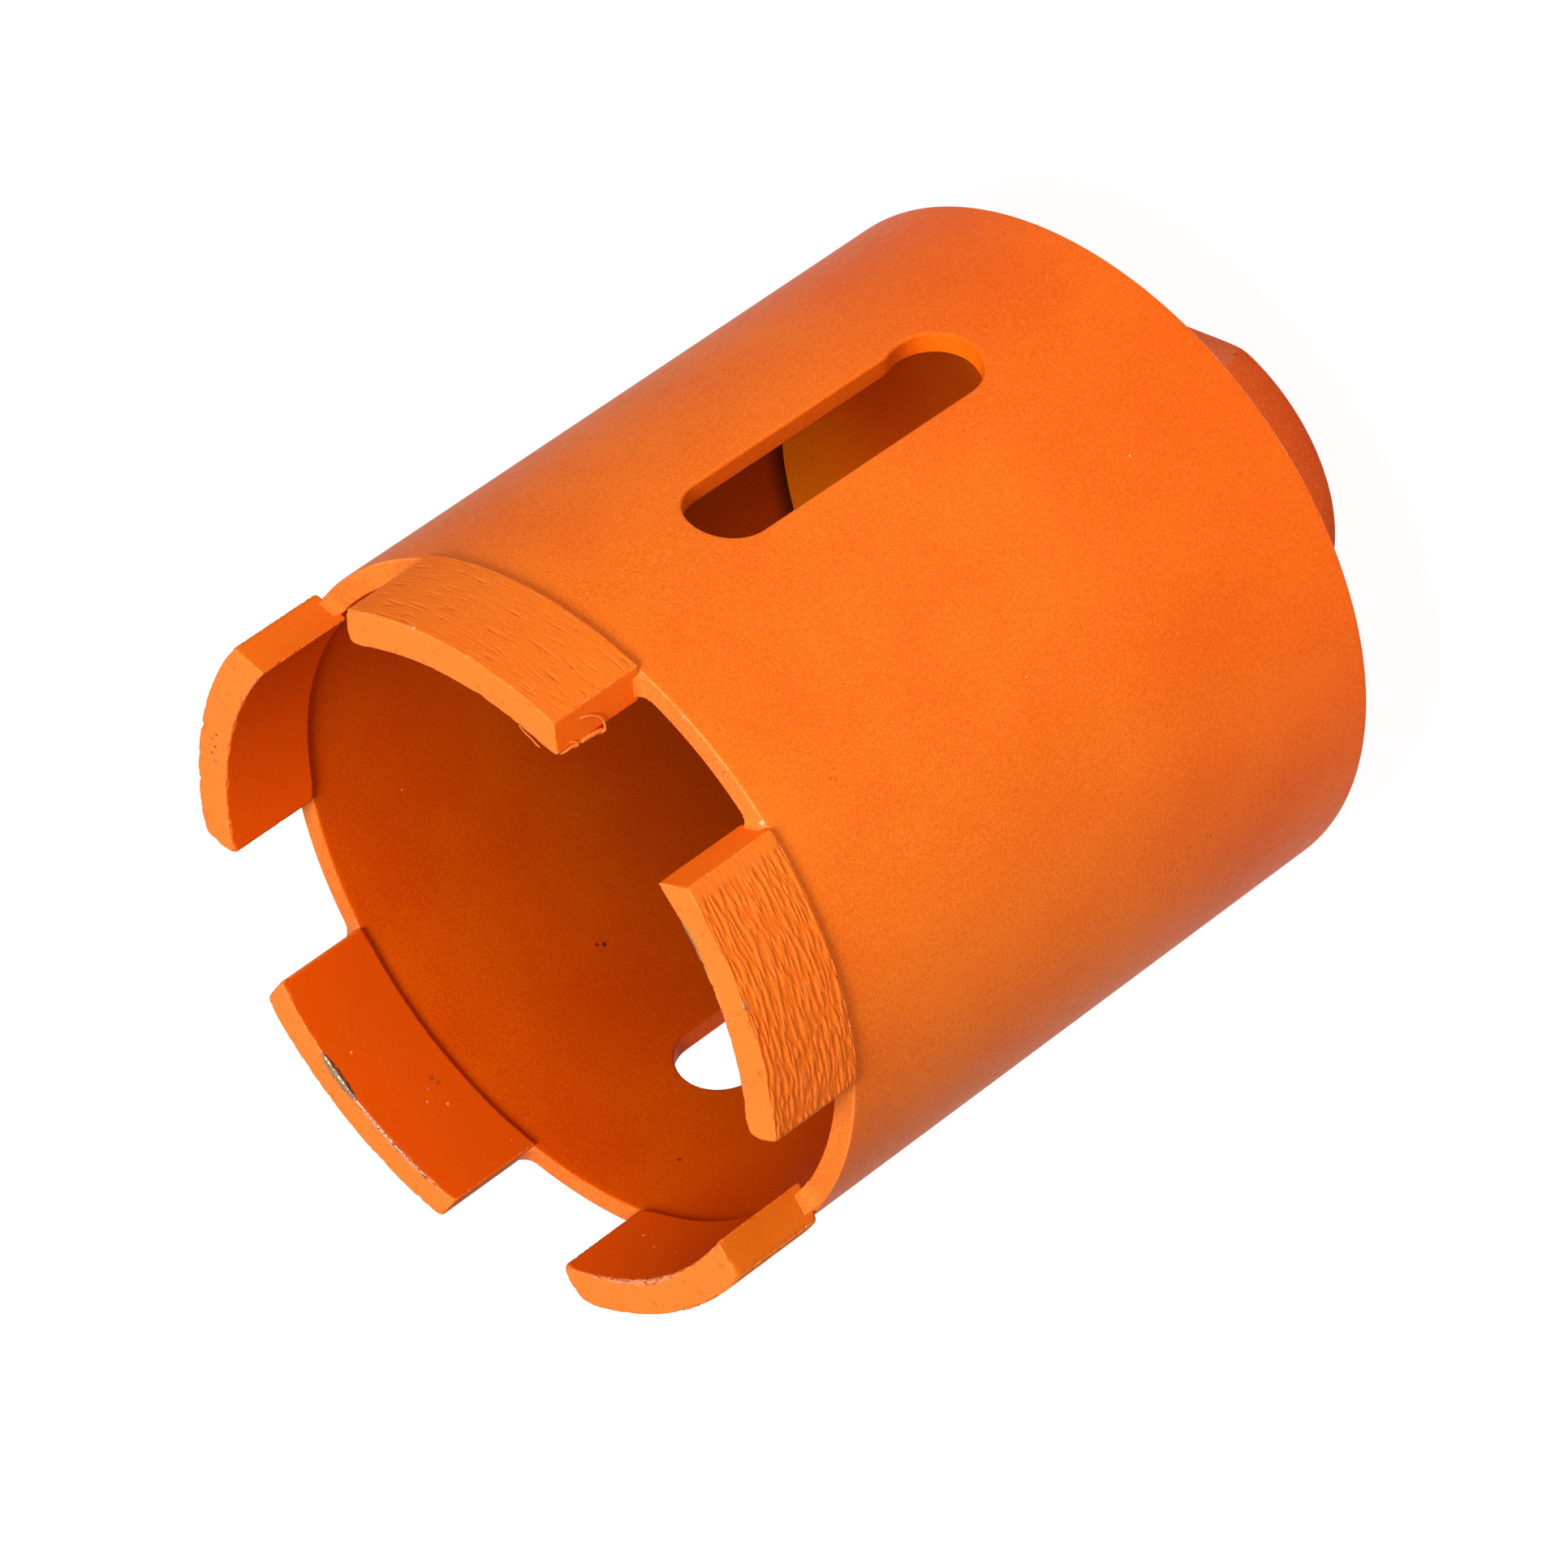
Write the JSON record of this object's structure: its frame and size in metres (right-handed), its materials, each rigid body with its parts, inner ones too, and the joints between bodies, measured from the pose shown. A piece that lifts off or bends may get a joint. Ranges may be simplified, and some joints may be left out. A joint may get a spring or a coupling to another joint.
{
  "type": "diamond core bit",
  "caption": "Dry diamond core bit: slotted steel tube, closed at the rear by a plate with a threaded hub, and arc-shaped cutting segments brazed on the rim.",
  "frame": {"origin": "centre of the hub's end face, on the bit's axis, at the mouth of the spindle thread", "axes": "+Z along the bit's axis from the hub towards the cutting end, +Y through one core slot and -Y through the other, +X completes the right-handed set"},
  "size_m": [0.0683, 0.068, 0.0912],
  "materials": {
    "orange_paint": "semi-matt sprayed paint with a fine orange peel",
    "hub_paint": "semi-matt sprayed paint over turned steel",
    "weld_paint": "semi-matt sprayed paint over rippled weld metal",
    "segment_paint": "matt sprayed paint over ground metal and diamond, chipped at a few edges",
    "braze_paint": "semi-matt sprayed paint over a smooth braze fillet"
  },
  "bodies": {
    "root": {"barrel": "orange_paint", "back_plate": "orange_paint", "hub": "hub_paint", "hub_weld": "weld_paint", "rear_weld": "weld_paint", "segment_1": "segment_paint", "segment_2": "segment_paint", "segment_3": "segment_paint", "segment_4": "segment_paint", "segment_5": "segment_paint", "braze_1": "braze_paint", "braze_2": "braze_paint", "braze_3": "braze_paint", "braze_4": "braze_paint", "braze_5": "braze_paint"}
  },
  "joints": []
}
